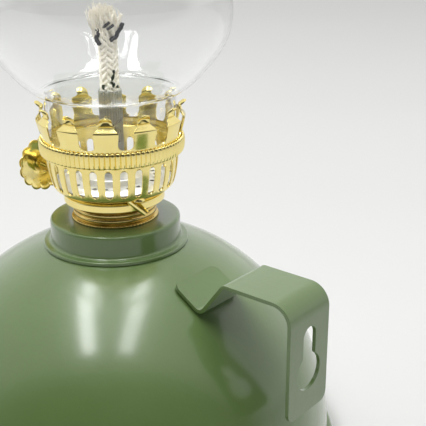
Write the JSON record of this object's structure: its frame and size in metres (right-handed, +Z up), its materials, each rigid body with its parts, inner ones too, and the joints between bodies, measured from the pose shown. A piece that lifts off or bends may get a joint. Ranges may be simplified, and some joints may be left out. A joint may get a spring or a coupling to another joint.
{
  "type": "oil lamp",
  "caption": "Domed metal oil lamp with a strap for wall hanging, a round-wick burner with a crown of prongs, a thumbwheel and a tall glass chimney.",
  "frame": {"origin": "middle of the base on the surface that the lamp stands on", "axes": "+Z up, +Y towards the wall strap, -Y towards the thumbwheel"},
  "size_m": [0.126, 0.1285, 0.222],
  "materials": {
    "green_paint": "satin",
    "brass": "bright",
    "dark_brass": "worn",
    "bright_steel": "satin",
    "cork": "matt",
    "wick_cotton": "matt",
    "tracer_yarn": "matt",
    "clear_glass": "polished"
  },
  "bodies": {
    "tank": {"tank_shell": "green_paint", "tank_base_pan": "green_paint", "neck_cap": "green_paint", "thread_collar": "dark_brass", "wall_strap": "green_paint"},
    "gasket": {"burner_gasket": "cork"},
    "burner": {"burner_base": "brass", "burner_basket": "brass", "gallery_ring": "brass", "gallery_crown": "brass", "draught_cup": "bright_steel", "wick_tube": "bright_steel", "tube_ferrule": "brass", "raiser_bracket": "brass", "shaft_bush": "brass", "vent_tongue": "brass"},
    "raiser": {"raiser_shaft": "brass", "raiser_sprocket": "brass", "thumbwheel": "brass", "thumbwheel_boss": "brass", "thumbwheel_rivet": "brass"},
    "wick": {"wick_braid": "wick_cotton", "wick_tuft": "wick_cotton", "wick_tracers": "tracer_yarn"},
    "chimney": {"chimney_glass": "clear_glass"}
  },
  "joints": [
    {"name": "burner_lift", "type": "slide", "parent": "tank", "child": "gasket", "axis": [0, 0, 1], "range_m": [0, 0.085]},
    {"name": "burner_turn", "type": "hinge", "parent": "gasket", "child": "burner", "pos_m": [0, 0, 0.0785], "axis": [0, 0, 1], "range_deg": [0, 900]},
    {"name": "chimney_lift", "type": "slide", "parent": "burner", "child": "chimney", "axis": [0, 0, 1], "range_m": [0, 0.06]},
    {"name": "wheel_turn", "type": "hinge", "parent": "burner", "child": "raiser", "pos_m": [0.00502, -0.00087, 0.081], "axis": [-0.1711, -0.9852, 0], "range_deg": [-204, 264]},
    {"name": "wick_feed", "type": "slide", "parent": "burner", "child": "wick", "axis": [0, 0, 1], "range_m": [-0.011, 0.0085]}
  ],
  "couplings": [
    {"joint": "wheel_turn", "follows": "wick_feed", "rad_per_m": -416.67}
  ]
}
